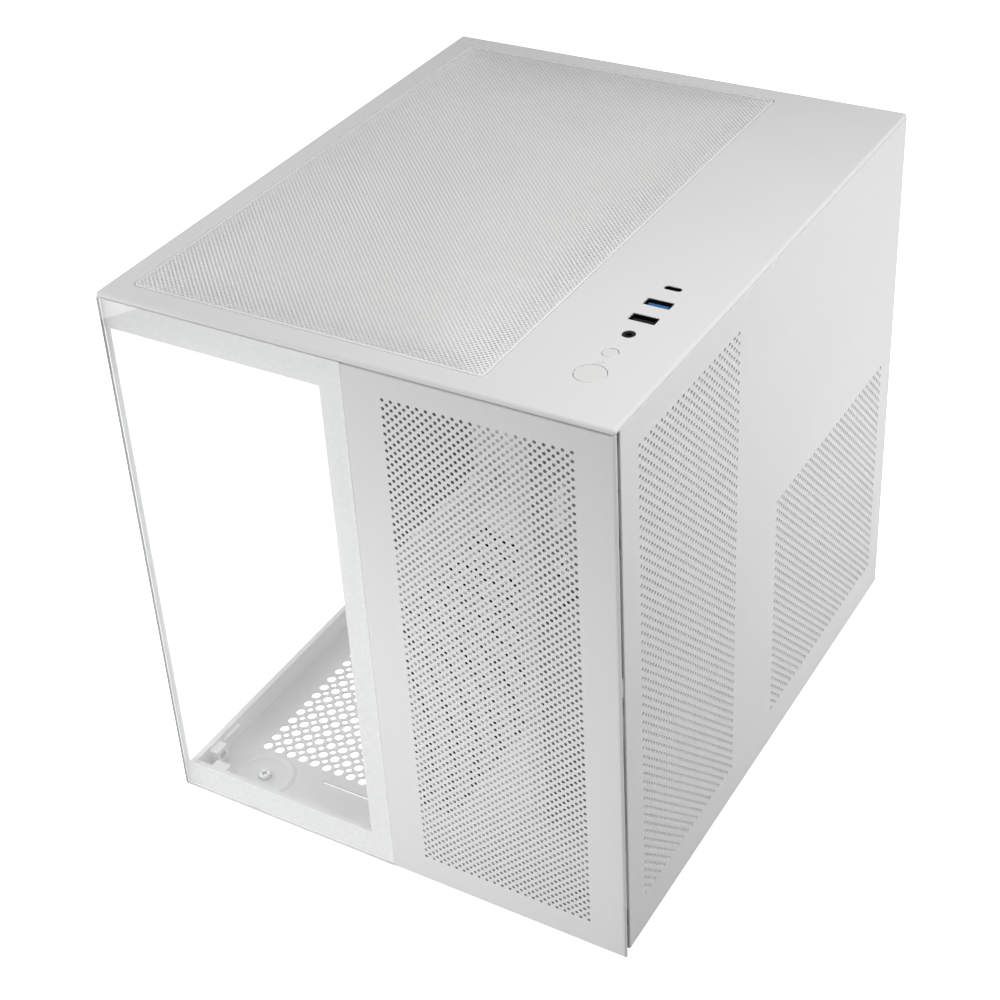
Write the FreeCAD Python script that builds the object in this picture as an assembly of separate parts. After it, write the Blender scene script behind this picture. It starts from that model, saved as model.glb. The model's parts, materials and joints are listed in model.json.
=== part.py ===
import FreeCAD, Part
import math
import os
from FreeCAD import Vector

# White dual-chamber computer case for a micro-ATX mainboard, with a frameless glass corner.
#
# Every shape is drawn in millimetres from the body's lower front left corner:
# x to the right as seen from the front, y to the rear, z up. save() then moves it to the
# model's own frame, whose origin is on the ground under the middle of the case.

os.makedirs("parts", exist_ok=True)

# ---- driving dimensions -------------------------------------------------------------------
CASE_W = 300.0
CASE_D = 369.0
BODY_H = 343.0
FOOT_H = 12.0
SHEET = 1.0
GLASS_T = 4.0

X_AXIS = Vector(1, 0, 0)
Y_AXIS = Vector(0, 1, 0)
Z_AXIS = Vector(0, 0, 1)

# ---- the main planes of the body ----------------------------------------------------------
SKIN_Z = BODY_H - SHEET           # underside of the top panel's skin
PANEL_TOP = 340.0                 # top edge of the glass and of the upright panels
FLOOR_Z = 4.0                     # upper face of the base pan's floor
FLOOR_X = (4.6, 292.0)
FLOOR_Y = (4.6, 360.0)
REAR_Y = 360.0                    # inner face of the rear panel, which lies 8 mm in from the edge
REAR_OUT = REAR_Y + SHEET
TRAY_X = 205.0                    # mainboard tray, the wall between the two chambers
TRAY_BACK = TRAY_X + SHEET
SIDE_X = CASE_W - SHEET           # inner face of the right side panel
SEAM_X = 150.8                    # where the front glass ends and the front vent panel begins
SEAM_GAP = 0.5
SILL_TOP = 18.5
SILL_IN = 8.0                     # inner faces of the left and front sills

# ---- perforation --------------------------------------------------------------------------
FRONT_PITCH = 4.93
FRONT_HOLE_R = 1.0
FRONT_FIRST = (174.2, 19.2)       # x and z of the first hole
FRONT_COUNT = (22, 63)
SIDE_PITCH = 5.85
SIDE_HOLE_R = 1.35
SIDE_FIRST_Z = 28.0
SIDE_FRONT_Y = 24.0
SIDE_FRONT_COUNT = (20, 51)
SIDE_REAR_Y = 192.6
SIDE_REAR_COUNT = (28, 27)
FLOOR_PITCH = 8.75
FLOOR_HOLE_R = 3.0
FLOOR_SMALL_R = 2.0
FLOOR_FIRST = (28.3, 49.2)
FLOOR_COUNT = (16, 30)
ROWS_PER_STRIP = 8

# ---- top filter recess --------------------------------------------------------------------
FILTER_X = (13.0, 223.8)
FILTER_Y = (13.8, 355.8)
FILTER_R = 3.5
FILTER_GAP = 0.6

# ---- front ports and buttons, in one row along the right of the top panel --------------------
PORT_X = 267.3
USB_C_Y = 127.0
USB_3_Y = 110.6
USB_2_Y = 94.2
JACK_Y = 78.2
RESET_Y = 59.0
LIGHT_Y = 49.4
POWER_Y = 38.6
BOARD_X = (254.0, 281.0)
BOARD_Y = (27.0, 137.0)
BOARD_Z = (322.0, 323.6)
PORT_TOP = 342.7
USB_A_SHELL = (13.6, 6.2)
USB_A_HOLE = (14.8, 6.8)
USB_C_SHELL = (9.0, 3.3)
USB_C_HOLE = (9.8, 3.9)
POWER_R = 8.0
RESET_R = 4.0
BUTTON_GAP = 0.3
LIGHT_R = 0.95
JACK_R = 3.3
PLUG_R = 1.75

# ---- mainboard and expansion slots ----------------------------------------------------------
BOARD_TOP_Z = 290.0               # upper edge of a micro-ATX mainboard
BOARD_REAR_Y = 358.0
STANDOFF_ROWS = (10.16, 165.10, 237.49)     # from the mainboard's rear edge
STANDOFF_COLUMNS = (6.35, 163.83, 209.55)   # from the mainboard's upper edge
STANDOFF_LENGTH = 6.5
STANDOFF_HOLE_R = 1.4
IO_CUTOUT = (44.45, 158.75)
IO_CUTOUT_X = 156.3
IO_CUTOUT_TOP = 286.0
SLOT_PITCH = 20.32
SLOT_FIRST_Z = 117.5
SLOT_COUNT = 4
SLOT_X = (99.0, 196.0)
SLOT_HALF = 6.5
SHELF_X = 88.5

# ---- fans, power supply and drives --------------------------------------------------------
FAN_HOLES = 105.0
FAN_HOLE_R = 2.25
REAR_FAN = (88.0, 222.0)
TOP_FAN_X = 118.4
TOP_FAN_Y = (114.8, 254.8)
PSU_X = 208.0
PSU_Z = 28.75
PSU_HOLES = ((6.0, 80.0), (144.0, 80.0), (6.0, 16.0), (120.0, 6.0))   # up, then across
PSU_HOLE_R = 2.0
CAGE_X = (206.0, 276.0)
CAGE_Y = (196.0, 350.0)
CAGE_Z = (186.0, 304.0)
SLED_Z = (190.0, 300.0)
SLED_Y = (198.0, 346.0)
SLED_X = {"left": 212.0, "right": 242.0}
SLED_DEPTH = 26.0
DRIVE_HOLES = (44.45, 95.25)
SSD_HOLES = (76.6, 61.72)

# ---- feet and glass fixings -----------------------------------------------------------------
FOOT_X = (42.5, 257.5)
FOOT_Y = (26.0, 338.0)
FOOT_R = 17.0
SIDE_STUDS_Y = (23.0, 345.0)
SIDE_STUDS_Z = (12.0, 331.0)
FRONT_STUDS_X = (22.0, 125.0)
FRONT_STUDS_Z = (11.0, 331.0)
STUD_R = 1.9
BALL_R = 2.5
SOCKET_R = 2.8


# ---- helpers --------------------------------------------------------------------------------
def box(x, y, z):
    """A block between the low and high ends of each of its three spans."""
    return Part.makeBox(x[1] - x[0], y[1] - y[0], z[1] - z[0], Vector(x[0], y[0], z[0]))


def rod(start, axis, radius, length):
    return Part.makeCylinder(radius, length, Vector(*start), axis)


def join(shapes):
    """One solid, with the seams between coplanar faces removed."""
    return shapes[0].multiFuse(shapes[1:]).removeSplitter()


def drill(shape, tools):
    return shape.cut(Part.makeCompound(tools))


def group(solids):
    return Part.makeCompound(solids)


def rounded(x, y, z, radius):
    """A block whose upright edges are rounded."""
    block = box(x, y, z)
    upright = [e for e in block.Edges if abs(e.tangentAt(e.FirstParameter).z) > 0.99]
    return block.makeFillet(radius, upright)


def slot(centre, length, width, axis, z):
    """An upright tool for a round-ended slot whose length runs along x or y."""
    half = (length / 2, width / 2) if axis == "x" else (width / 2, length / 2)
    spans = [(centre[i] - half[i], centre[i] + half[i]) for i in (0, 1)]
    return rounded(spans[0], spans[1], z, min(length, width) / 2 * 0.999)


def span(centre, size):
    return (centre - size / 2, centre + size / 2)


def foot_centres():
    return [(x, y) for x in FOOT_X for y in FOOT_Y]


def staggered(first, pitch, count, radius, between=None):
    """Rows of (v, [u, ...], radius), with a second set in the middle of each four holes."""
    rows = []
    for j in range(2 * count[1] - 1):
        odd = j % 2
        holes = [first[0] + (i + odd / 2) * pitch for i in range(count[0] - odd)]
        rows.append((first[1] + j * pitch / 2, holes, between if odd and between else radius))
    return rows


def merged_rows(first, second):
    """Two fields of holes whose lowest rows are level."""
    rows = []
    for j, (v, holes, radius) in enumerate(first):
        beside = second[j][1] if j < len(second) else []
        rows.append((v, holes + beside, radius))
    return rows


def perforated(origin, u, v, n, size, rows, strip=ROWS_PER_STRIP):
    """A sheet with round holes, made as strips of a few rows so that no face has too many holes.

    origin is the sheet's corner, u and v its directions, n the way its thickness goes.
    The holes' wires turn the other way round than the outline, as holes must.
    """
    strips = []
    low = 0.0
    backward = v.cross(u)
    half = (rows[1][0] - rows[0][0]) / 2
    for i in range(0, len(rows), strip):
        part = rows[i:i + strip]
        high = size[1] if i + strip >= len(rows) else part[-1][0] + half
        corners = [origin + u * a + v * b for a, b in
                   ((0, low), (size[0], low), (size[0], high), (0, high), (0, low))]
        wires = [Part.makePolygon(corners)]
        for row, holes, radius in part:
            wires += [Part.Wire(Part.makeCircle(radius, origin + u * a + v * row, backward))
                      for a in holes]
        strips.append(Part.Face(wires).extrude(n * SHEET))
        low = high
    return strips[0] if len(strips) == 1 else strips[0].multiFuse(strips[1:])


def rivet(x, y, z, out, grip):
    """A blind rivet whose head sits at a point on the outer sheet."""
    at = Vector(x, y, z)
    head = Part.makeCone(3.0, 1.9, 1.0, at, out)
    shank = Part.makeCylinder(1.6, grip, at - out * grip, out)
    tail = Part.makeCylinder(2.2, 2.0, at - out * (grip + 2.0), out)
    return join([head, shank, tail])


def pan_screw(x, y, z, out, head_r, head_h, shank_r, length):
    """A pan-head screw with a cross recess. The point is under its head."""
    at = Vector(x, y, z)
    head = Part.makeCylinder(head_r, head_h, at, out)
    rim = [e for e in head.Edges if e.Closed and (e.CenterOfMass - at).dot(out) > head_h / 2]
    head = head.makeFillet(head_h * 0.45, rim)
    shank = Part.makeCylinder(shank_r, length, at - out * length, out)
    side = Z_AXIS if abs(out.z) < 0.5 else X_AXIS
    recess = []
    for along in (side, out.cross(side)):
        across = out.cross(along)
        corner = at + out * (head_h * 0.4) - along * head_r * 0.5 - across * 0.4
        arm = Part.makePolygon([corner, corner + along * head_r, corner + along * head_r + across * 0.8,
                                corner + across * 0.8, corner])
        recess.append(Part.Face(arm).extrude(out * head_h))
    return drill(join([head, shank]), recess)


def save(name, shape):
    moved = shape.copy()
    moved.translate(Vector(-CASE_W / 2, -CASE_D / 2, FOOT_H))
    moved.exportStep(f"parts/{name}.step")
    print(name, len(moved.Solids), round(moved.Volume / 1000, 2), "cm3")


# ---- holes shared by two pieces -------------------------------------------------------------
RIVET_HOLE_R = 1.65
REAR_RIVETS = ([(x, 332.0) for x in (30.0, 120.0, 200.0)] + [(x, 12.0) for x in (60.0, 150.0, 240.0)]
               + [(12.0, z) for z in (110.0, 220.0)] + [(211.0, z) for z in (196.0, 320.0)])
FLOOR_RIVETS = [(170.0, 10.0), (225.0, 10.0)]
BRACKET_SCREWS = ([(y, z) for y in (203.0, 343.0) for z in (200.0, 290.0)]
                  + [(80.0, 84.0), (188.0, 84.0)])


def rear_rivet_tools():
    return [rod((x, REAR_Y - 2, z), Y_AXIS, RIVET_HOLE_R, 4) for x, z in REAR_RIVETS]


def floor_rivet_tools():
    return [rod((x, y, 2), Z_AXIS, RIVET_HOLE_R, 4) for x, y in FLOOR_RIVETS]


# ---- base -----------------------------------------------------------------------------------
def base_pan():
    """Floor with its vent, a rim turned down all round, raised foot seats and a cable slit."""
    rows = staggered((FLOOR_FIRST[0] - FLOOR_X[0], FLOOR_FIRST[1] - FLOOR_Y[0]), FLOOR_PITCH,
                     FLOOR_COUNT, FLOOR_HOLE_R, FLOOR_SMALL_R)
    size = (FLOOR_X[1] - FLOOR_X[0], FLOOR_Y[1] - FLOOR_Y[0])
    corner = Vector(FLOOR_X[0], FLOOR_Y[0], FLOOR_Z - SHEET)
    floor = perforated(corner, X_AXIS, Y_AXIS, Z_AXIS, size, rows, len(rows))
    middle_z = FLOOR_Z - SHEET / 2
    rim = box(FLOOR_X, FLOOR_Y, (0.0, middle_z)).cut(
        box((FLOOR_X[0] + SHEET, FLOOR_X[1] - SHEET), (FLOOR_Y[0] + SHEET, FLOOR_Y[1] - SHEET),
            (0.0, middle_z)))
    beads = []
    for x, y in foot_centres():
        outer = Part.makeCone(17.5, 16.9, 1.1, Vector(x, y, middle_z))
        beads.append(outer.cut(Part.makeCone(15.1, 15.7, 1.1, Vector(x, y, middle_z))))
    pan = floor.multiFuse([rim] + beads)
    tools = [rod((x, y, 0), Z_AXIS, 2.2, 6) for x, y in foot_centres()] + floor_rivet_tools()
    tools.append(box((77.0, 111.0), (37.4, 38.6), (2.0, 5.0)))
    return drill(pan, tools)


def left_sill():
    """Rail under the left glass, with a catch slot and a hole for each lower ball stud."""
    rail = box((FLOOR_X[0], SILL_IN), (4.8, 339.5), (FLOOR_Z, SILL_TOP))
    tools = [rod((4, y, SIDE_STUDS_Z[0]), X_AXIS, 3.0, 5) for y in SIDE_STUDS_Y[:1]]
    tools.append(box((4.0, 9.0), (33.0, 50.5), (12.0, 15.0)))
    tools.append(box((4.0, 9.0), (310.0, 327.5), (12.0, 15.0)))
    return drill(rail, tools)


def front_sill():
    rail = box((SILL_IN, 137.5), (4.8, SILL_IN), (FLOOR_Z, 17.5))
    return drill(rail, [rod((x, 4, FRONT_STUDS_Z[0]), Y_AXIS, 3.0, 5) for x in FRONT_STUDS_X])


def rear_right_sills():
    """Upright strips welded to the floor along its rear and right edges."""
    rear = drill(box((18.0, 290.5), (REAR_Y - SHEET, REAR_Y), (FLOOR_Z, 20.0)), rear_rivet_tools())
    right = box((291.0, 292.0), (15.0, 358.5), (FLOOR_Z, 18.0))
    return group([rear, right])


def feet():
    """Round feet under the pan, each hollowed for its pad and its screw."""
    solids = []
    for x, y in foot_centres():
        foot = Part.makeCone(FOOT_R - 2.5, FOOT_R, 13.0, Vector(x, y, -10.0))
        tools = [rod((x, y, -4.0), Z_AXIS, 1.65, 8), rod((x, y, -11.0), Z_AXIS, 11.5, 2.5)]
        solids.append(drill(foot, tools))
    return group(solids)


def foot_pads():
    return group([rod((x, y, -FOOT_H), Z_AXIS, 11.4, 3.4) for x, y in foot_centres()])


def foot_screws():
    return group([pan_screw(x, y, FLOOR_Z, Z_AXIS, 4.2, 2.4, 1.6, 7.5) for x, y in foot_centres()])


# ---- walls ----------------------------------------------------------------------------------
def rear_panel():
    """Rear wall with the port cut-out, slots, fan vent and the power supply's opening."""
    y = (REAR_Y, REAR_OUT)
    wall = join([box((5.0, 292.0), y, (0.0, 341.5)), box((291.0, 297.5), y, (4.3, 338.5))])
    tools = rear_rivet_tools()
    tools.append(box((IO_CUTOUT_X, IO_CUTOUT_X + IO_CUTOUT[0]), (358, 363),
                     (IO_CUTOUT_TOP - IO_CUTOUT[1], IO_CUTOUT_TOP)))
    for i in range(SLOT_COUNT):
        z = SLOT_FIRST_Z - i * SLOT_PITCH
        tools.append(box(SLOT_X, (358, 363), (z - SLOT_HALF, z + SLOT_HALF)))
        tools.append(box((SHELF_X - 1.7, SHELF_X + 0.4), (358, 363), (z - 9.6, z + 9.6)))
    tools += fan_vent_tools() + fan_screw_tools()
    up = span(PSU_Z + 75.0, 128.0)
    across = (PSU_X + 11.0, PSU_X + 75.0)
    tools.append(box(across, (358, 363), up))
    tools += [rod((PSU_X + b, 358, PSU_Z + a), Y_AXIS, PSU_HOLE_R, 5) for a, b in PSU_HOLES]
    tools += [rod((290.0, 358, z), Y_AXIS, 1.8, 5) for z in THUMB_Z.values()]
    return drill(wall, tools)


def fan_vent_tools():
    """Round holes in a close hexagonal pattern inside the fan's circle."""
    pitch, limit = 8.0, 55.0
    rise = pitch * math.sqrt(3) / 2
    tools = []
    for j in range(-7, 8):
        for i in range(-8, 9):
            x, z = (i + (j % 2) / 2) * pitch, j * rise
            if math.hypot(x, z) < limit:
                tools.append(rod((REAR_FAN[0] + x, 358, REAR_FAN[1] + z), Y_AXIS, 3.1, 5))
    return tools


def fan_screw_tools():
    half = FAN_HOLES / 2
    return [rod((REAR_FAN[0] + a, 358, REAR_FAN[1] + b), Y_AXIS, FAN_HOLE_R, 5)
            for a in (-half, half) for b in (-half, half)]


def mainboard_tray():
    """Wall between the chambers, with cable openings and a window behind the processor."""
    x = (TRAY_X, TRAY_BACK)
    wall = box(x, (67.0, REAR_Y - 0.1), (FLOOR_Z, 339.5))
    front_fold = box((TRAY_BACK, 214.0), (67.0, 68.0), (FLOOR_Z, 339.5))
    rear_fold = box((TRAY_BACK, 216.0), (REAR_Y - SHEET, REAR_Y), (184.0, 339.5))
    rear_fold = drill(rear_fold, rear_rivet_tools())
    tools = [rod((204, y, z), X_AXIS, 1.75, 3) for y, z in standoff_places()]
    tools += [rod((204, y, z), X_AXIS, 1.65, 3) for y, z in BRACKET_SCREWS]
    for y, z in (((104, 118), (186, 212)), ((104, 118), (150, 165)), ((215, 325), (172, 272)),
                 ((150, 190), (8, 24)), ((215, 255), (8, 24)), ((280, 320), (8, 24)),
                 ((200, 250), (310, 328)), ((290, 340), (310, 328))):
        tools.append(box((203, 208), y, z))
    tools.append(box((203, 208), (358.8, 362), (0, 20.5)))
    return join([drill(wall, tools), front_fold, rear_fold])


def standoff_places():
    for row in STANDOFF_ROWS:
        for column in STANDOFF_COLUMNS:
            yield BOARD_REAR_Y - row, BOARD_TOP_Z - column


def mainboard_standoffs():
    """Hexagonal standoffs with a tapped bore, and a stud that is pressed into the tray."""
    solids = []
    for y, z in standoff_places():
        corners = [Vector(TRAY_X, y + 3.0 * math.cos(a), z + 3.0 * math.sin(a))
                   for a in [math.radians(60 * k) for k in range(7)]]
        body = Part.Face(Part.makePolygon(corners)).extrude(X_AXIS * -STANDOFF_LENGTH)
        stud = rod((TRAY_X - 0.5, y, z), X_AXIS, 1.7, 1.45)
        bore = rod((TRAY_X - STANDOFF_LENGTH - 1, y, z), X_AXIS, STANDOFF_HOLE_R, 6.0)
        solids.append(drill(join([body, stud]), [bore]))
    return group(solids)


def cable_tie_loops():
    """Small bridges on the back of the tray, for cable ties."""
    solids = []
    for y, z in ((96.0, 240.0), (96.0, 300.0), (140.0, 270.0), (170.0, 170.0), (150.0, 200.0),
                 (96.0, 20.0)):
        loop = box((TRAY_BACK, 210.0), (y - 6, y + 6), (z - 1.5, z + 1.5))
        solids.append(loop.cut(box((TRAY_BACK, 208.8), (y - 4.5, y + 4.5), (z - 2, z + 2))))
    return group([leg for loop in solids for leg in loop.Solids])


def front_post():
    """Channel behind the print on the front glass."""
    post = box((138.0, 150.3), (5.0, 16.0), (FLOOR_Z, PANEL_TOP))
    return post.cut(box((139.0, 149.3), (6.0, 17.0), (FLOOR_Z, PANEL_TOP)))


def rear_left_post():
    """Angle in the rear left corner, with the hole for one lower ball stud."""
    side = box((5.0, 6.0), (340.0, REAR_Y - SHEET), (FLOOR_Z, 339.5))
    back = drill(box((5.0, 17.0), (REAR_Y - SHEET, REAR_Y), (FLOOR_Z, 324.0)), rear_rivet_tools())
    side = drill(side, [rod((4, SIDE_STUDS_Y[1], z), X_AXIS, 3.0, 5) for z in SIDE_STUDS_Z])
    return join([side, back])


def right_top_rail():
    """Angle under the top panel that carries the upper hem of the right side panel."""
    web = box((291.0, 292.0), (15.0, REAR_Y - 0.5), (322.0, SKIN_Z))
    return join([web, box((284.0, 291.5), (15.0, REAR_Y - 0.5), (SKIN_Z - SHEET, SKIN_Z))])


def front_vent_panel():
    """Perforated right half of the front, its side and top folds and its bottom tab, face to face."""
    left = SEAM_X + SEAM_GAP
    rows = staggered((FRONT_FIRST[0] - left, FRONT_FIRST[1]), FRONT_PITCH, FRONT_COUNT, FRONT_HOLE_R)
    sheet = perforated(Vector(left, 0, 0), X_AXIS, Z_AXIS, Y_AXIS, (CASE_W - left, PANEL_TOP), rows)
    folds = [box((left, left + SHEET), (SHEET, 12.0), (FLOOR_Z, PANEL_TOP)),
             box((290.0, 291.0), (SHEET, 14.0), (4.0, PANEL_TOP)),
             box((left + SHEET, 290.0), (SHEET, 14.0), (PANEL_TOP - SHEET, PANEL_TOP)),
             drill(box((left + SHEET, 236.0), (SHEET, 14.0), (FLOOR_Z, FLOOR_Z + SHEET)),
                   floor_rivet_tools())]
    return group([sheet] + folds)


# ---- top ------------------------------------------------------------------------------------
def top_fan_tray():
    """Tray under the filter: a raised border, air slots, fan slots and folds all round."""
    x, y = (5.0, 236.0), (5.0, REAR_Y)
    plate = box(x, y, (PANEL_TOP, PANEL_TOP + SHEET))
    well = rounded((FILTER_X[0] - 0.3, FILTER_X[1] + 0.3), (FILTER_Y[0] - 0.3, FILTER_Y[1] + 0.3),
                   (PANEL_TOP + SHEET, SKIN_Z), FILTER_R)
    border = box(x, y, (PANEL_TOP + SHEET, SKIN_Z)).cut(well)
    folds = [box((5.0, 6.0), (5.0, 339.5), (322.0, PANEL_TOP)),
             box((6.0, 137.5), (5.0, 6.0), (322.0, PANEL_TOP)),
             box((235.0, 236.0), (20.0, 190.0), (330.0, PANEL_TOP)),
             box((18.0, 204.5), (REAR_Y - SHEET, REAR_Y), (326.0, PANEL_TOP))]
    tools = rear_rivet_tools()
    z = (339.0, 342.0)
    for fan_y in TOP_FAN_Y:
        for i in range(10):
            for side in (-1, 1):
                tools.append(slot((TOP_FAN_X + (i - 4.5) * 10.0, fan_y + side * 25.5), 46.0, 5.0, "y", z))
        for a in (-1, 1):
            for b in (-1, 1):
                centre = (TOP_FAN_X + a * FAN_HOLES / 2, fan_y + b * FAN_HOLES / 2)
                tools.append(slot(centre, 14.0, 2 * FAN_HOLE_R, "x", z))
    tools.append(rod((4, SIDE_STUDS_Y[0], SIDE_STUDS_Z[1]), X_AXIS, 3.0, 5))
    tools += [rod((x_, 4, FRONT_STUDS_Z[1]), Y_AXIS, 3.0, 5) for x_ in FRONT_STUDS_X]
    return drill(join([plate, border] + folds), tools)


def top_panel():
    """Skin with a lip turned down all round, the filter recess and the port cut-outs."""
    outer = rounded((0.0, CASE_W), (0.0, CASE_D), (340.8, BODY_H), 1.5)
    inner = box((SHEET, CASE_W - SHEET), (SHEET, CASE_D - SHEET), (340.0, SKIN_Z))
    z = (SKIN_Z - 1, BODY_H + 1)
    tools = [inner, rounded(FILTER_X, FILTER_Y, z, FILTER_R),
             slot((PORT_X, USB_C_Y), USB_C_HOLE[0], USB_C_HOLE[1], "x", z),
             rod((PORT_X, JACK_Y, z[0]), Z_AXIS, JACK_R + 0.25, 3),
             rod((PORT_X, RESET_Y, z[0]), Z_AXIS, RESET_R + BUTTON_GAP, 3),
             rod((PORT_X, LIGHT_Y, z[0]), Z_AXIS, LIGHT_R + 0.2, 3),
             rod((PORT_X, POWER_Y, z[0]), Z_AXIS, POWER_R + BUTTON_GAP, 3)]
    tools += [rounded(span(PORT_X, USB_A_HOLE[0]), span(y, USB_A_HOLE[1]), z, 0.6)
              for y in (USB_3_Y, USB_2_Y)]
    return drill(outer, tools)


def filter_outline(inset, z, radius):
    x = (FILTER_X[0] + inset, FILTER_X[1] - inset)
    y = (FILTER_Y[0] + inset, FILTER_Y[1] - inset)
    return rounded(x, y, z, radius)


def filter_frame():
    z = (341.8, 342.45)
    return filter_outline(FILTER_GAP, z, 3.0).cut(filter_outline(FILTER_GAP + 7.0, z, 2.0))


def filter_mesh():
    return filter_outline(FILTER_GAP, (342.45, 342.85), 3.0)


def filter_magnets():
    """Four flat magnetic strips under the filter's frame."""
    z = (341.05, 341.8)
    x, y = FILTER_X, FILTER_Y
    near, far = FILTER_GAP + 1.0, FILTER_GAP + 6.0
    strips = [box((x[0] + 12, x[1] - 12), (y[0] + near, y[0] + far), z),
              box((x[0] + 12, x[1] - 12), (y[1] - far, y[1] - near), z),
              box((x[0] + near, x[0] + far), (y[0] + 12, y[1] - 12), z),
              box((x[1] - far, x[1] - near), (y[0] + 12, y[1] - 12), z)]
    return group(strips)


# ---- glass ----------------------------------------------------------------------------------
def chamfered(shape, size):
    return shape.makeChamfer(size, shape.Edges)


def front_glass():
    return chamfered(box((0.0, SEAM_X), (0.0, GLASS_T), (0.0, PANEL_TOP)), 0.4)


def side_glass():
    return chamfered(box((0.0, GLASS_T), (GLASS_T + 0.4, CASE_D - 0.4), (0.3, PANEL_TOP)), 0.4)


def front_glass_print():
    """White print on the inner face along the top, right and bottom edges."""
    y = (GLASS_T, GLASS_T + 0.25)
    full = box((0.6, SEAM_X - 0.6), y, (0.6, PANEL_TOP - 0.6))
    return full.cut(box((-1.0, 135.75), y, (19.0, PANEL_TOP - 18.8)))


def ball_stud(at, out, disc, length):
    """A disc bonded to the glass, a pin, and a ball at its end."""
    point = Vector(*at)
    plate = Part.makeCylinder(5.0, disc, point, out)
    pin = Part.makeCylinder(STUD_R, length, point, out)
    return join([plate, pin, Part.makeSphere(BALL_R, point + out * length)])


def side_glass_studs():
    lower = [ball_stud((GLASS_T, y, SIDE_STUDS_Z[0]), X_AXIS, 0.5, 7.5) for y in SIDE_STUDS_Y]
    upper = [ball_stud((GLASS_T, y, SIDE_STUDS_Z[1]), X_AXIS, 0.5, 7.5) for y in SIDE_STUDS_Y]
    return group(lower + upper)


def front_glass_studs():
    return group([ball_stud((x, GLASS_T + 0.25, z), Y_AXIS, 0.4, 7.25)
                  for x in FRONT_STUDS_X for z in FRONT_STUDS_Z])


def glass_sockets():
    """Plastic sockets that the ball studs click into."""
    solids = []
    for y in SIDE_STUDS_Y:
        for z in SIDE_STUDS_Z:
            near = SILL_IN if (y, z) == (SIDE_STUDS_Y[0], SIDE_STUDS_Z[0]) else 6.0
            block = box((near + 0.05, 14.5), span(y, 10.0), span(z, 10.0))
            solids.append(drill(block, [rod((5, y, z), X_AXIS, SOCKET_R, 10)]))
    for x in FRONT_STUDS_X:
        for z in FRONT_STUDS_Z:
            near = SILL_IN if z == FRONT_STUDS_Z[0] else 6.0
            block = box(span(x, 10.0), (near + 0.05, 14.5), span(z, 10.0))
            solids.append(drill(block, [rod((x, 5, z), Y_AXIS, SOCKET_R, 10)]))
    return group(solids)


# ---- right side panel -----------------------------------------------------------------------
THUMB_Z = {"lower": 200.0, "upper": 318.0}


def right_side_panel():
    """Perforated panel, its front hem and the two folds that ride on the rails, face to face."""
    start, end = 2.2, CASE_D - 0.4
    low = 2.8
    front = staggered((SIDE_FRONT_Y - start, SIDE_FIRST_Z - low), SIDE_PITCH, SIDE_FRONT_COUNT, SIDE_HOLE_R)
    rear = staggered((SIDE_REAR_Y - start, SIDE_FIRST_Z - low), SIDE_PITCH, SIDE_REAR_COUNT, SIDE_HOLE_R)
    size = (end - start, PANEL_TOP - low)
    rows = merged_rows(front, rear)
    skin = perforated(Vector(SIDE_X, start, low), Y_AXIS, Z_AXIS, X_AXIS, size, rows)
    folds = [box((SIDE_X - SHEET, SIDE_X), (start, start + 8.0), (low + SHEET, PANEL_TOP - SHEET)),
             box((292.5, SIDE_X), (start, end), (low, low + SHEET)),
             box((292.5, SIDE_X), (start, end), (PANEL_TOP - SHEET, PANEL_TOP))]
    return group([skin] + folds)


def right_panel_tabs():
    """Tabs welded inside the panel's rear edge, one for each thumbscrew."""
    solids = []
    for z in THUMB_Z.values():
        tab = box((282.0, SIDE_X), (REAR_OUT + 0.3, REAR_OUT + 1.3), span(z, 20.0))
        solids.append(drill(tab, [rod((290.0, 360, z), Y_AXIS, 2.1, 4)]))
    return group(solids)


def thumbscrew(z):
    """Knurled thumbscrew with a slot across its head."""
    face = REAR_OUT + 1.4
    head = rod((290.0, face, z), Y_AXIS, 5.6, 6.0)
    rim = [e for e in head.Edges if e.Closed and e.CenterOfMass.y > face + 3]
    head = head.makeFillet(0.6, rim)
    flutes = []
    for k in range(20):
        a = math.radians(18 * k)
        flutes.append(rod((290 + 5.9 * math.cos(a), face + 1.0, z + 5.9 * math.sin(a)), Y_AXIS, 0.6, 6))
    cross = [box(span(290.0, 8.0), (face + 4.6, face + 7), span(z, 1.2))]
    return join([drill(head, flutes + cross), rod((290.0, 353.0, z), Y_AXIS, 1.75, face - 353.0 + 0.5)])


# ---- front ports ----------------------------------------------------------------------------
def io_bracket():
    """Steel channel that hangs from the top panel and carries the port board."""
    base = box((252.0, 283.0), (22.0, 141.0), (316.0, 317.0))
    walls = [box((252.0, 283.0), y, (316.0, SKIN_Z)) for y in ((22.0, 23.0), (140.0, 141.0))]
    ears = [box((252.0, 283.0), y, (SKIN_Z - SHEET, SKIN_Z)) for y in ((14.5, 22.5), (140.5, 149.0))]
    bosses = [rod((x, y, 316.5), Z_AXIS, 2.5, BOARD_Z[0] - 316.5) for x, y in board_screw_places()]
    bores = [rod((x, y, 315.0), Z_AXIS, 1.25, 8.0) for x, y in board_screw_places()]
    return drill(join([base] + walls + ears + bosses), bores)


def board_screw_places():
    return [(x, y) for x in (257.0, 278.0) for y in (30.0, 134.0)]


def io_board():
    """Circuit board of the ports, with the status light's chip on it."""
    board = drill(box(BOARD_X, BOARD_Y, BOARD_Z),
                  [rod((x, y, 320.0), Z_AXIS, 1.4, 5) for x, y in board_screw_places()])
    chip = box(span(PORT_X, 2.0), span(LIGHT_Y, 2.0), (BOARD_Z[1] - 0.1, BOARD_Z[1] + 1.4))
    return join([board, chip])


def io_board_screws():
    return group([pan_screw(x, y, BOARD_Z[1], Z_AXIS, 2.3, 1.4, 1.2, 6.0) for x, y in board_screw_places()])


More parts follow.
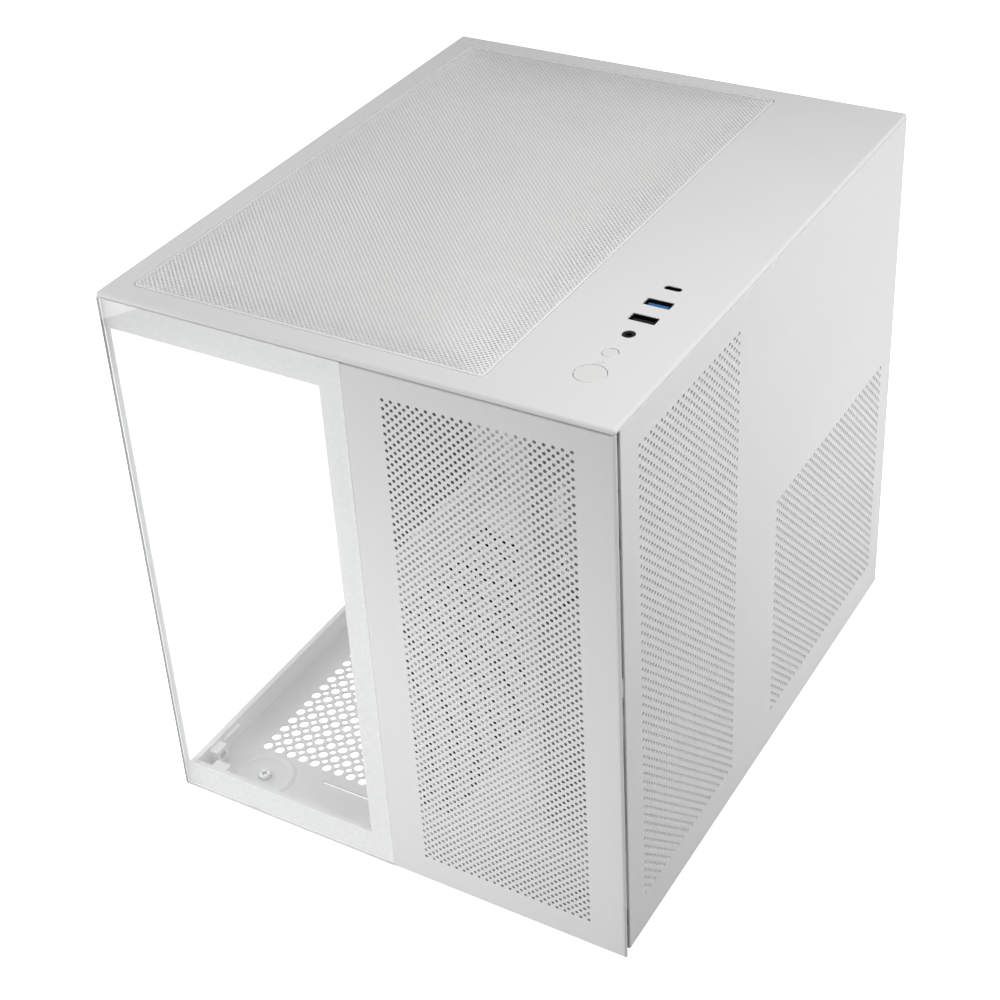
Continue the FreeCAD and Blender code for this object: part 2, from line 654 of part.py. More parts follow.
def usb_a_shell(y):
    """Folded metal shell of a USB-A socket, open at the top."""
    z = (BOARD_Z[1], PORT_TOP)
    outer = rounded(span(PORT_X, USB_A_SHELL[0]), span(y, USB_A_SHELL[1]), z, 0.5)
    inside = (USB_A_SHELL[0] - 0.8, USB_A_SHELL[1] - 0.8)
    return outer.cut(box(span(PORT_X, inside[0]), span(y, inside[1]), z))


def usb_a_tongue(y):
    """Insulator with the contact tongue of a USB-A socket."""
    block = box(span(PORT_X, USB_A_SHELL[0] - 0.9), span(y, USB_A_SHELL[1] - 0.9), (BOARD_Z[1], 329.0))
    return join([block, box(span(PORT_X, 11.2), (y - 1.1, y + 1.1), (328.5, 341.6))])


def usb_c_shell():
    z = (BOARD_Z[1], PORT_TOP)
    outer = slot((PORT_X, USB_C_Y), USB_C_SHELL[0], USB_C_SHELL[1], "x", z)
    return outer.cut(slot((PORT_X, USB_C_Y), USB_C_SHELL[0] - 0.6, USB_C_SHELL[1] - 0.6, "x", z))


def usb_c_tongue():
    foot = slot((PORT_X, USB_C_Y), USB_C_SHELL[0] - 0.7, USB_C_SHELL[1] - 0.7, "x", (BOARD_Z[1], 335.0))
    return join([foot, box(span(PORT_X, 6.7), span(USB_C_Y, 0.7), (334.5, 342.0))])


def headphone_jack():
    block = box(span(PORT_X, 9.0), span(JACK_Y, 9.0), (BOARD_Z[1], 334.0))
    barrel = rod((PORT_X, JACK_Y, 333.5), Z_AXIS, JACK_R, PORT_TOP - 333.5)
    return drill(join([block, barrel]), [rod((PORT_X, JACK_Y, 327.7), Z_AXIS, PLUG_R, 20)])


def lead_sockets():
    """Open sockets on the board for the leads to the mainboard."""
    solids = []
    for y in ((72.0, 88.0), (98.0, 106.0), (112.0, 122.0)):
        shell = box((254.4, 259.6), y, (BOARD_Z[1], 331.0))
        solids.append(shell.cut(box((255.2, 258.8), (y[0] + 0.8, y[1] - 0.8), (325.0, 332.0))))
    return group(solids)


def button_housing():
    """Plastic guide for both buttons and the light pipe, fixed under the top panel."""
    block = box(span(PORT_X, 22.0), (28.0, 65.0), (330.0, SKIN_Z))
    tools = []
    for y, radius, stem in ((POWER_Y, POWER_R + 1.4, 2.8), (RESET_Y, RESET_R + 1.4, 2.1)):
        tools += [rod((PORT_X, y, 333.0), Z_AXIS, radius, 12), rod((PORT_X, y, 329.0), Z_AXIS, stem, 5)]
    tools.append(rod((PORT_X, LIGHT_Y, 329.0), Z_AXIS, LIGHT_R + 0.1, 15))
    return drill(block, tools)


def button_cap(y, radius, stem):
    """Cap flush with the top panel, a flange that keeps it in, and a stem down to the switch."""
    cap = rod((PORT_X, y, 340.5), Z_AXIS, radius, BODY_H - 340.5)
    rim = [e for e in cap.Edges if e.Closed and e.CenterOfMass.z > BODY_H - 0.1]
    cap = cap.makeFillet(0.4, rim)
    flange = rod((PORT_X, y, 340.2), Z_AXIS, radius + 1.0, 1.4)
    shaft = rod((PORT_X, y, 328.6), Z_AXIS, stem, 12.0)
    nub = rod((PORT_X, y, 327.2), Z_AXIS, 1.4, 2.0)
    return join([cap, flange, shaft, nub])


def button_switches():
    """Two tact switches on the board, each with a well for the stem's nub."""
    solids = []
    for y in (POWER_Y, RESET_Y):
        body = box(span(PORT_X, 6.0), span(y, 6.0), (BOARD_Z[1], 327.0))
        solids.append(drill(body, [rod((PORT_X, y, 325.4), Z_AXIS, 1.7, 3)]))
    return group(solids)


def light_pipe():
    return rod((PORT_X, LIGHT_Y, BOARD_Z[1] + 1.5), Z_AXIS, LIGHT_R, BODY_H - 0.1 - BOARD_Z[1] - 1.5)


# ---- power supply, drives and slots -----------------------------------------------------------
def psu_shelf():
    plate = box((208.0, 290.0), (202.0, 350.0), (PSU_Z - 2.0, PSU_Z - 1.0))
    legs = [box((208.0, 290.0), y, (FLOOR_Z, PSU_Z - 1.5)) for y in ((214.0, 215.0), (316.0, 317.0))]
    flanges = [box((208.0, 290.0), y, (FLOOR_Z, FLOOR_Z + SHEET)) for y in ((214.5, 225.0), (306.0, 316.5))]
    return join([plate] + legs + flanges)


def psu_pads():
    return group([box((214.0, 284.0), (y, y + 8.0), (PSU_Z - 1.0, PSU_Z)) for y in (208.0, 248.0, 290.0, 336.0)])


def drive_cage():
    """Open-fronted cage for two drives on edge, screwed to the back of the tray."""
    x, y, z = CAGE_X, CAGE_Y, CAGE_Z
    plates = [box(x, y, (z[0], z[0] + SHEET)), box(x, y, (z[1] - SHEET, z[1])),
              box((x[1] - SHEET, x[1]), y, z).cut(box((270, 280), (212, 334), (205, 285))),
              box(x, (y[1] - SHEET, y[1]), z).cut(box((216, 266), (345, 355), (205, 285)))]
    plates += [box((x[0], x[0] + SHEET), strip, z) for strip in ((y[0], y[0] + 13), (y[1] - 13, y[1]))]
    ribs = []
    for left in SLED_X.values():
        ribs.append(box((left + 4, left + 18), (y[0] + 2, y[1] - 0.5), (z[0] + 0.5, SLED_Z[0] - 0.3)))
        ribs.append(box((left + 4, left + 18), (y[0] + 2, y[1] - 0.5), (SLED_Z[1] + 0.3, z[1] - 0.5)))
    holes = [rod((205, a, b), X_AXIS, 1.8, 4) for a, b in BRACKET_SCREWS[:4]]
    return drill(join(plates + ribs), holes)


def drive_places(hole_grid):
    y, z = sum(SLED_Y) / 2 + 1.0, sum(SLED_Z) / 2
    for a in (-0.5, 0.5):
        for b in (-0.5, 0.5):
            yield y + a * hole_grid[0], z + b * hole_grid[1]


def drive_sled(left):
    """Plastic sled: base, two rails, and a front with a finger slot."""
    base = box((left, left + 2.0), (SLED_Y[0], SLED_Y[1]), SLED_Z)
    rails = [box((left, left + 22.0), (SLED_Y[0], SLED_Y[1]), z) for z in
             ((SLED_Z[0], SLED_Z[0] + 3.0), (SLED_Z[1] - 3.0, SLED_Z[1]))]
    front = box((left, left + SLED_DEPTH), (SLED_Y[0], SLED_Y[0] + 3.0), SLED_Z)
    tools = [box((left + 9, left + 19), (SLED_Y[0] - 1, SLED_Y[0] + 4), (225.0, 265.0))]
    tools += [rod((left - 1, y, z), X_AXIS, 3.2, 4) for y, z in drive_places(DRIVE_HOLES)]
    tools += [rod((left - 1, y, z), X_AXIS, 1.6, 4) for y, z in drive_places(SSD_HOLES)]
    tools += [box((left - 1, left + 3), (y, y + 24.0), (228.0, 262.0)) for y in (240.0, 282.0)]
    return drill(join([base] + rails + [front]), tools)


def sled_grommets(left):
    """Rubber rings in the sled's drive holes."""
    rings = []
    for y, z in drive_places(DRIVE_HOLES):
        body = rod((left, y, z), X_AXIS, 3.1, 3.2)
        flange = rod((left + 2.0, y, z), X_AXIS, 3.7, 1.2)
        rings.append(drill(join([body, flange]), [rod((left - 1, y, z), X_AXIS, 1.8, 6)]))
    return group(rings)


def ssd_plate():
    """Plate for one small drive on the back of the tray."""
    plate = box((211.0, 212.0), (84.0, 184.0), (34.0, 134.0))
    sides = [box((TRAY_BACK, 212.0), y, (34.0, 134.0)) for y in ((84.0, 85.0), (183.0, 184.0))]
    lugs = [box((TRAY_BACK, TRAY_BACK + SHEET), y, (72.0, 96.0)) for y in ((75.0, 84.5), (183.5, 193.0))]
    centre = (134.0, 84.0)
    tools = [rod((210, centre[0] + a * SSD_HOLES[0], centre[1] + b * SSD_HOLES[1]), X_AXIS, 1.6, 3)
             for a in (-0.5, 0.5) for b in (-0.5, 0.5)]
    tools += [rod((205, y, z), X_AXIS, 1.8, 4) for y, z in BRACKET_SCREWS[4:]]
    return drill(join([plate] + sides + lugs), tools)


def bracket_screws():
    """Screws of the drive cage and the drive plate."""
    return group([pan_screw(TRAY_BACK + SHEET, y, z, X_AXIS, 3.2, 2.0, 1.6, 3.4) for y, z in BRACKET_SCREWS])


def slot_centres():
    return [SLOT_FIRST_Z - i * SLOT_PITCH for i in range(SLOT_COUNT)]


def slot_covers():
    """Blank covers, each with a tab folded out through the rear panel."""
    solids = []
    for z in slot_centres():
        plate = box((SHELF_X - 1.1, 200.0), (REAR_Y - 1.1, REAR_Y - 0.1), span(z, 18.4))
        tab = box((SHELF_X - 1.1, SHELF_X - 0.1), (REAR_Y - 1.1, 368.4), span(z, 18.4))
        solids.append(drill(join([plate, tab]), [rod((86, 365.0, z), X_AXIS, 1.8, 4)]))
    return group(solids)


def slot_shelf():
    """Angle on the rear panel that the covers' tabs are screwed to."""
    z = (SLOT_FIRST_Z - (SLOT_COUNT - 1) * SLOT_PITCH - 10.0, SLOT_FIRST_Z + 10.0)
    flat = box((SHELF_X, SHELF_X + 9.5), (REAR_OUT, REAR_OUT + SHEET), z)
    ledge = box((SHELF_X, SHELF_X + SHEET), (REAR_OUT, 368.6), z)
    return drill(join([flat, ledge]), [rod((86, 365.0, c), X_AXIS, 1.65, 5) for c in slot_centres()])


def slot_cover_screws():
    return group([pan_screw(SHELF_X - 1.1, 365.0, z, X_AXIS * -1, 3.2, 2.0, 1.6, 5.0) for z in slot_centres()])


def chassis_rivets():
    rear = [rivet(x, REAR_OUT, z, Y_AXIS, 2.0) for x, z in REAR_RIVETS]
    floor = [rivet(x, y, FLOOR_Z + SHEET, Z_AXIS, 2.0) for x, y in FLOOR_RIVETS]
    return group(rear + floor)


# ---- write every piece ------------------------------------------------------------------------
PIECES = [base_pan, left_sill, front_sill, rear_right_sills, feet, foot_pads, foot_screws,
          rear_panel, mainboard_tray, mainboard_standoffs, cable_tie_loops, front_post,
          rear_left_post, right_top_rail, front_vent_panel, top_fan_tray, top_panel, filter_frame,
          filter_mesh, filter_magnets, front_glass, side_glass, front_glass_print,
          side_glass_studs, front_glass_studs, glass_sockets, right_side_panel, right_panel_tabs,
          io_bracket, io_board, io_board_screws, usb_c_shell, usb_c_tongue, headphone_jack,
          lead_sockets, button_housing, button_switches, light_pipe, psu_shelf, psu_pads,
          drive_cage, ssd_plate, bracket_screws, slot_covers, slot_shelf, slot_cover_screws,
          chassis_rivets]

for piece in PIECES:
    save(piece.__name__, piece())
for name, y in (("usb_3", USB_3_Y), ("usb_2", USB_2_Y)):
    save(f"{name}_shell", usb_a_shell(y))
    save(f"{name}_tongue", usb_a_tongue(y))
for side, left in SLED_X.items():
    save(f"drive_sled_{side}", drive_sled(left))
    save(f"drive_sled_{side}_grommets", sled_grommets(left))
for place, z in THUMB_Z.items():
    save(f"thumbscrew_{place}", thumbscrew(z))
save("power_button_cap", button_cap(POWER_Y, POWER_R, 2.5))
save("reset_button_cap", button_cap(RESET_Y, RESET_R, 1.8))
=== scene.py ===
"""Looks of a white dual-chamber computer case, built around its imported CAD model.

Lengths are in millimetres from the body's lower front left corner, as in the CAD source, until
place() turns them into metres in the model's own frame.
"""

import json
import math

import bmesh
import bpy
from mathutils import Matrix, Vector
from mathutils.geometry import tessellate_polygon


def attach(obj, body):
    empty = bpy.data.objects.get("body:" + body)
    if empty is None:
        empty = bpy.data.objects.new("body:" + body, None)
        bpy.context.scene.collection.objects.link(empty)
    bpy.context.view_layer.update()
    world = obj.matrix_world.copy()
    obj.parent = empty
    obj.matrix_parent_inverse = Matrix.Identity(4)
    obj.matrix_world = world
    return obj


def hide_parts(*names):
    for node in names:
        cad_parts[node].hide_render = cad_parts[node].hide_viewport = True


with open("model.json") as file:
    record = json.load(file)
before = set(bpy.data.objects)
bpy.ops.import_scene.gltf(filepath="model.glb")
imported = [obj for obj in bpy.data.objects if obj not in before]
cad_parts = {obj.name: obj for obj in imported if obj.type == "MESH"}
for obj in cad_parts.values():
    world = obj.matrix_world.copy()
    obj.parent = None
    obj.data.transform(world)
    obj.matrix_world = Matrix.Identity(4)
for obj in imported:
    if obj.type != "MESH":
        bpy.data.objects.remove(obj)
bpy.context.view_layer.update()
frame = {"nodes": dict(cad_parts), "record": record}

# ---- sizes ----------------------------------------------------------------------------------
CASE_W, CASE_D, BODY_H, FOOT_H = 300.0, 369.0, 343.0, 12.0
SHEET = 1.0                    # thickness of the steel sheet
PANEL_TOP = 340.0              # top edge of the upright panels and panes
SEAM_X = 151.3                 # left edge of the front vent panel
SIDE_START, SIDE_LOW = 5.0, 2.8    # front and lower edges of the right side panel
FLOOR_X, FLOOR_Y, FLOOR_Z = (4.6, 292.0), (4.6, 360.0), 4.0    # base pan, and its upper face
PORT_X = 267.3                 # middle of the row of ports and buttons
GLASS = 4.0                    # thickness of both panes
PRINT_INNER_X, PRINT_INNER_Z = 135.75, (19.0, 321.2)    # inner edges of the white print
FEET = [(x, y) for x in (42.5, 257.5) for y in (26.0, 338.0)]
FILTER_X, FILTER_Y, FILTER_R, FILTER_GAP = (13.0, 223.8), (13.8, 355.8), 3.5, 0.6
EDGE = 0.5                     # outer radius along a cut or folded sheet edge
ROLL, ROLL_DEPTH = 1.6, 1.8    # rolled edge of the front vent panel


def place(x, y, z):
    """A point of the body in the model's frame, in metres."""
    return Vector(((x - CASE_W / 2) / 1000, (y - CASE_D / 2) / 1000, (z + FOOT_H) / 1000))


# ---- procedural materials -------------------------------------------------------------------
def node(tree, kind, inputs=None, **settings):
    """A shader node with its settings and input values; a value may be another node's socket."""
    made = tree.nodes.new(kind)
    for key, value in settings.items():
        setattr(made, key, value)
    for key, value in (inputs or {}).items():
        if isinstance(value, bpy.types.NodeSocket):
            tree.links.new(value, made.inputs[key])
        else:
            made.inputs[key].default_value = value
    return made


def new_material(name):
    material = bpy.data.materials.new(name)
    material.use_nodes = True
    tree = material.node_tree
    tree.nodes.clear()
    output = tree.nodes.new("ShaderNodeOutputMaterial")
    where = node(tree, "ShaderNodeTexCoord").outputs["Object"]
    return material, tree, output, where


def noise(tree, where, scale, detail=2.0, roughness=0.5):
    return node(tree, "ShaderNodeTexNoise", {"Vector": where, "Scale": scale, "Detail": detail,
                                             "Roughness": roughness}).outputs["Fac"]


def ramp(tree, value, low, high, start=0.3, end=0.7):
    return node(tree, "ShaderNodeMapRange", {"Value": value, "From Min": start, "From Max": end,
                                             "To Min": low, "To Max": high}).outputs["Result"]


def blend_colours(tree, factor, first, second):
    mixed = node(tree, "ShaderNodeMix", data_type="RGBA")
    tree.links.new(factor, mixed.inputs["Factor"])
    mixed.inputs["A"].default_value = (*first, 1.0)
    mixed.inputs["B"].default_value = (*second, 1.0)
    return mixed.outputs["Result"]


def coated(name, colour, spread=0.02, rough=(0.38, 0.5), metal=0.0, grain=900.0, height=0.02,
           sheen=0.0, coat=0.0, specular=0.5, patch=9.0, stretch=None):
    """A solid finish: faint cloudy colour, uneven gloss and a fine grain in relief."""
    material, tree, output, where = new_material(name)
    if stretch:
        where = node(tree, "ShaderNodeMapping", {"Vector": where, "Scale": stretch}).outputs["Vector"]
    cloud = ramp(tree, noise(tree, where, patch, 3.0), 0.0, 1.0)
    paler = [min(1.0, c * (1 + spread)) for c in colour]
    darker = [c * (1 - spread) for c in colour]
    fine = noise(tree, where, grain, 2.0, 0.6)
    bump = node(tree, "ShaderNodeBump", {"Height": fine, "Strength": 0.5, "Distance": height / 1000})
    shader = node(tree, "ShaderNodeBsdfPrincipled", {
        "Base Color": blend_colours(tree, cloud, darker, paler),
        "Roughness": ramp(tree, noise(tree, where, grain / 6, 2.0), *rough),
        "Metallic": metal, "Normal": bump.outputs["Normal"], "Specular IOR Level": specular,
        "Sheen Weight": sheen, "Coat Weight": coat})
    tree.links.new(shader.outputs["BSDF"], output.inputs["Surface"])
    return material


def clear_glass(name):
    """Clear float glass that lets lamp light straight through; its tint varies by a trace."""
    material, tree, output, where = new_material(name)
    tint = blend_colours(tree, noise(tree, where, 4.0), (0.985, 0.992, 0.99), (0.995, 0.998, 0.997))
    glass = node(tree, "ShaderNodeBsdfPrincipled", {
        "Base Color": tint, "Roughness": 0.0, "IOR": 1.5, "Transmission Weight": 1.0})
    open_way = node(tree, "ShaderNodeBsdfTransparent", {"Color": (0.96, 0.97, 0.965, 1.0)})
    shadow = node(tree, "ShaderNodeLightPath").outputs["Is Shadow Ray"]
    mixed = node(tree, "ShaderNodeMixShader", {"Fac": shadow})
    tree.links.new(glass.outputs["BSDF"], mixed.inputs[1])
    tree.links.new(open_way.outputs["BSDF"], mixed.inputs[2])
    tree.links.new(mixed.outputs["Shader"], output.inputs["Surface"])
    return material


WHITE = (0.80, 0.80, 0.797)
MATERIALS = {
    "white_steel": coated("white_steel", WHITE, 0.012, (0.46, 0.56), grain=1500.0, height=0.03,
                          specular=0.35),
    "clear_glass": clear_glass("clear_glass"),
    "white_print": coated("white_print", (0.90, 0.90, 0.897), 0.01, (0.2, 0.3), grain=2500.0, height=0.005),
    "white_plastic": coated("white_plastic", (0.79, 0.79, 0.782), 0.015, (0.42, 0.52), grain=2600.0,
                            height=0.02),
    "filter_mesh_white": coated("filter_mesh_white", (0.93, 0.93, 0.925), 0.02, (0.5, 0.62), sheen=0.1,
                                grain=3000.0, height=0.03),
    # the cloth under the filter threads; its grey tone is painted shade in the gaps of the weave
    "shaded_filter_cloth": coated("shaded_filter_cloth", (0.60, 0.60, 0.597), 0.03, (0.6, 0.7), grain=3000.0),
    "black_rubber": coated("black_rubber", (0.028, 0.028, 0.03), 0.15, (0.6, 0.75), grain=2200.0,
                           height=0.04),
    "zinc_steel": coated("zinc_steel", (0.62, 0.62, 0.63), 0.05, (0.24, 0.36), metal=1.0, grain=1800.0,
                         height=0.01),
    "white_screw": coated("white_screw", (0.76, 0.76, 0.755), 0.015, (0.34, 0.44), grain=2600.0, height=0.02),
    "brass_standoff": coated("brass_standoff", (0.72, 0.53, 0.24), 0.06, (0.2, 0.32), metal=1.0,
                             grain=1500.0, height=0.01),
    "circuit_board": coated("circuit_board", (0.012, 0.03, 0.02), 0.25, (0.3, 0.42), grain=700.0,
                            height=0.02, patch=60.0),
    "port_shell": coated("port_shell", (0.10, 0.10, 0.105), 0.08, (0.28, 0.4), metal=1.0, grain=2600.0,
                         height=0.01),
    "black_plastic": coated("black_plastic", (0.016, 0.016, 0.017), 0.15, (0.38, 0.5), grain=2600.0,
                            height=0.02),
    "blue_plastic": coated("blue_plastic", (0.035, 0.16, 0.36), 0.1, (0.34, 0.46), grain=2600.0, height=0.02),
    # painted shade: a darker copy of the pale ground glass edge, for the front pane's left edge
    "painted_shade_ground_edge": coated("painted_shade_ground_edge", (0.40, 0.41, 0.405), 0.04, (0.5, 0.6), grain=2500.0),
    "pale_ground_edge": coated("pale_ground_edge", (0.88, 0.89, 0.885), 0.01, (0.5, 0.6), grain=2500.0),
    "light_diffuser": coated("light_diffuser", (0.86, 0.86, 0.83), 0.01, (0.2, 0.3), grain=2000.0,
                             height=0.01, coat=0.3),
}


# ---- meshes ---------------------------------------------------------------------------------
class Sheet:
    """A thin plate being built: points are (u, v, w) on a plane, with w the depth behind its face."""

    def __init__(self, origin, u, v, n):
        self.origin, self.u, self.v, self.n = Vector(origin), Vector(u), Vector(v), Vector(n)
        self.points, self.faces = [], []

    def ring(self, loop, depth):
        first = len(self.points)
        self.points += [(u, v, depth) for u, v in loop]
        return list(range(first, first + len(loop)))

    def skirt(self, above, below):
        """Quads between two rings with the same number of points."""
        count = len(above)
        self.faces += [(above[i], below[i], below[(i + 1) % count], above[(i + 1) % count])
                       for i in range(count)]

    def cap(self, rings, back=False):
        """A flat face with holes: the first ring is its outline."""
        loops = [[Vector((self.points[i][0], self.points[i][1], 0.0)) for i in ring] for ring in rings]
        flat = [i for ring in rings for i in ring]
        for a, b, c in tessellate_polygon(loops):
            pa, pb, pc = (Vector(self.points[flat[k]][:2]) for k in (a, b, c))
            turn = (pb - pa).cross(pc - pa)
            if abs(turn) < 1e-9:
                continue
            order = (a, b, c) if (turn > 0) != back else (a, c, b)
            self.faces.append(tuple(flat[k] for k in order))

    def mesh(self, name):
        made = bpy.data.meshes.new(name)
        points = [place(*(self.origin + self.u * u + self.v * v + self.n * w)) for u, v, w in self.points]
        made.from_pydata(points, [], self.faces)
        return made


def outline(u, v, radius, inset=0.0, steps=6):
    """A rectangle with round corners, counter-clockwise, its edge moved in by inset."""
    radius = min(radius, (u[1] - u[0]) / 2, (v[1] - v[0]) / 2)
    r = max(radius - inset, 0.02)
    loop = []
    for k, (cu, cv) in enumerate(((u[1] - radius, v[0] + radius), (u[1] - radius, v[1] - radius),
                                  (u[0] + radius, v[1] - radius), (u[0] + radius, v[0] + radius))):
        shift = max(inset - radius, 0.0)
        side = ((1, -1), (1, 1), (-1, 1), (-1, -1))[k]
        for i in range(steps + 1):
            a = math.radians(-90 + 90 * k + 90 * i / steps)
            loop.append((cu - side[0] * shift + r * math.cos(a), cv - side[1] * shift + r * math.sin(a)))
    return loop


def rounded_profile(radius, depth, steps=3):
    """(inset, depth) pairs from a plate's face round its edge and down to a depth."""
    arc = [(radius * (1 - math.sin(math.radians(90 * i / steps))),
            radius * (1 - math.cos(math.radians(90 * i / steps)))) for i in range(steps + 1)]
    return arc + [(0.0, depth)]


def hole_field(sheet, first, pitch, count, radius, between, quarter, flare, thickness):
    """A staggered field of holes, in both faces and through. Each hole lies in a diamond cell.

    The holes open out by flare towards the back. Returns the rings that bound the field, on the
    front and on the back.
    """
    half = pitch / 2
    sides = 4 * quarter
    turn = [(math.cos(2 * math.pi * k / sides), math.sin(2 * math.pi * k / sides)) for k in range(sides)]
    cells = [(2 * i, 2 * j, radius) for i in range(count[0]) for j in range(count[1])]
    cells += [(2 * i + 1, 2 * j + 1, between) for i in range(count[0] - 1) for j in range(count[1] - 1)]
    rims = []
    for depth, back in ((0.0, False), (thickness, True)):
        corners, edges, rings = {}, {}, []
        wider = flare if back else 0.0
        for a, b, r in cells:
            around = ((a + 1, b), (a, b + 1), (a - 1, b), (a, b - 1))
            for key in around:
                if key not in corners:
                    corners[key] = len(sheet.points)
                    sheet.points.append((first[0] + key[0] * half, first[1] + key[1] * half, depth))
            centre = (first[0] + a * half, first[1] + b * half)
            hole = sheet.ring([(centre[0] + (r + wider) * c, centre[1] + (r + wider) * s) for c, s in turn],
                              depth)
            rings.append(hole)
            for q in range(4):
                near, far = corners[around[q]], corners[around[(q + 1) % 4]]
                edges[(near, far)] = True
                spoke = quarter // 2
                faces = [(near, hole[(q * quarter + k + 1) % sides], hole[q * quarter + k])
                         for k in range(spoke)]
                faces.append((near, far, hole[q * quarter + spoke]))
                faces += [(far, hole[(q * quarter + k + 1) % sides], hole[q * quarter + k])
                          for k in range(spoke, quarter)]
                sheet.faces += [f[::-1] for f in faces] if back else faces
        after = {near: far for near, far in edges if (far, near) not in edges}
        start = next(iter(after))
        rim, at = [start], after[start]
        while at != start:
            rim.append(at)
            at = after[at]
        rims.append((rim, rings))
    for front, back in zip(rims[0][1], rims[1][1]):
        sheet.skirt(front, back)
    return rims[0][0], rims[1][0]


def plate(name, origin, axes, size, corner, profile, back_inset, fields=(), holes=(), thickness=SHEET,
          blocks=(), bevel=0.15):
    """A plate with a rounded border, fields of holes, and single holes with an eased edge.

    blocks are further boxes in body millimetres, such as the sheet's folds.
    """
    sheet = Sheet(origin, *axes)
    spans = ((0.0, size[0]), (0.0, size[1]))
    rings = [sheet.ring(outline(*spans, corner, inset), depth) for inset, depth in profile]
    for above, below in zip(rings, rings[1:]):
        sheet.skirt(above, below)
    front, back = [rings[0]], [rings[-1]]
    if profile[-1][0] != back_inset:
        back = [sheet.ring(outline(*spans, corner, back_inset), profile[-1][1])]
        sheet.skirt(rings[-1], back[0])
    for field in fields:
        face, rear = hole_field(sheet, *field, thickness)
        front.append(face)
        back.append(rear)
    for u, v, radius, steps in holes:
        rim = ((-bevel, 0.0), (-bevel * 0.3, bevel * 0.3), (0.0, bevel), (0.0, thickness))
        loops = [sheet.ring(outline(u, v, radius, inset, steps), depth) for inset, depth in rim]
        for above, below in zip(loops, loops[1:]):
            sheet.skirt(above, below)
        front.append(loops[0])
        back.append(loops[-1])
    sheet.cap(front)
    sheet.cap(back, back=True)
    return finish_mesh(name, sheet.mesh(name), blocks)


def finish_mesh(name, mesh, blocks=()):
    """A new object from a mesh and some eased boxes, with normals that point outwards."""
    bm = bmesh.new()
    bm.from_mesh(mesh)
    bmesh.ops.recalc_face_normals(bm, faces=bm.faces)
    for block in blocks:
        add_block(bm, *block)
    bm.to_mesh(mesh)
    bm.free()
    made = bpy.data.objects.new(name, mesh)
    bpy.context.scene.collection.objects.link(made)
    return made


def add_block(bm, x, y, z, ease=0.2):
    low, high = place(x[0], y[0], z[0]), place(x[1], y[1], z[1])
    size = high - low
    matrix = Matrix.Translation((low + high) / 2) @ Matrix.Diagonal((*size, 1.0))
    made = bmesh.ops.create_cube(bm, size=1.0, matrix=matrix)
    edges = {e for v in made["verts"] for e in v.link_edges}
    bmesh.ops.bevel(bm, geom=list(edges), offset=min(ease / 1000, min(size) * 0.3), segments=2,
                    affect="EDGES", profile=0.5)


def dress(piece, body, slot, *nodes):
    """Gives a new piece its body, its material and the CAD nodes it stands for."""
    piece.data.materials.append(MATERIALS[slot])
    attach(piece, body)
    if nodes:
        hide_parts(*nodes)
    return piece


X, Y, Z = (1, 0, 0), (0, 1, 0), (0, 0, 1)
BACK_X, BACK_Z = (-1, 0, 0), (0, 0, -1)


def span(centre, size):
    return (centre - size / 2, centre + size / 2)


def round_hole(u, v, radius, steps=8):
    return (span(u, 2 * radius), span(v, 2 * radius), radius, steps)


# ---- front vent panel -----------------------------------------------------------------------
front_field = ((174.2 - SEAM_X, 19.2), 4.93, (22, 63), 1.0, 1.0, 3, 0.7)
FOLD_START, FOLD_END = 1.5, 14.0
HAIR = 0.02                    # keeps a fold's faces off the skin's faces
front_folds = [((SEAM_X + HAIR, SEAM_X + 1.7), (HAIR, 12.0), (0.6, PANEL_TOP - 0.6)),
               ((290.0, 291.0), (FOLD_START, FOLD_END), (FLOOR_Z, PANEL_TOP - HAIR)),
               ((SEAM_X + 0.5, 290.5), (FOLD_START, FOLD_END), (PANEL_TOP - SHEET, PANEL_TOP - HAIR)),
               ((SEAM_X + 0.5, 236.0), (FOLD_START, FOLD_END), (FLOOR_Z, FLOOR_Z + SHEET))]
front_vent = plate("front_vent_sheet", (SEAM_X, 0.0, 0.0), (X, Z, Y), (CASE_W - SEAM_X, PANEL_TOP), 0.4,
                   rounded_profile(ROLL, ROLL_DEPTH, 5) + [(SHEET, ROLL_DEPTH), (SHEET, SHEET)], SHEET,
                   [front_field], blocks=front_folds)
dress(front_vent, "chassis", "white_steel", "front_vent_panel")

# ---- right side panel -----------------------------------------------------------------------
side_fields = [((24.0 - SIDE_START, 28.0 - SIDE_LOW), 5.85, (20, 51), 1.35, 1.35, 3, 0.0),
               ((192.6 - SIDE_START, 28.0 - SIDE_LOW), 5.85, (28, 27), 1.35, 1.35, 3, 0.0)]
side_end = CASE_D - 0.4
side_length = (SIDE_START + HAIR, side_end - HAIR)
side_folds = [((298.0, 299.3), (SIDE_START + 2.5, 10.2), (SIDE_LOW + HAIR, PANEL_TOP - HAIR)),
              ((292.5, 299.3), side_length, (SIDE_LOW + HAIR, SIDE_LOW + SHEET)),
              ((292.5, 299.3), side_length, (PANEL_TOP - SHEET, PANEL_TOP - HAIR))]
side_panel = plate("right_side_sheet", (CASE_W, SIDE_START, SIDE_LOW), (Y, Z, BACK_X),
                   (side_end - SIDE_START, PANEL_TOP - SIDE_LOW), 0.4, rounded_profile(EDGE, SHEET), 0.0,
                   side_fields, blocks=side_folds)
dress(side_panel, "right_panel", "white_steel", "right_side_panel")

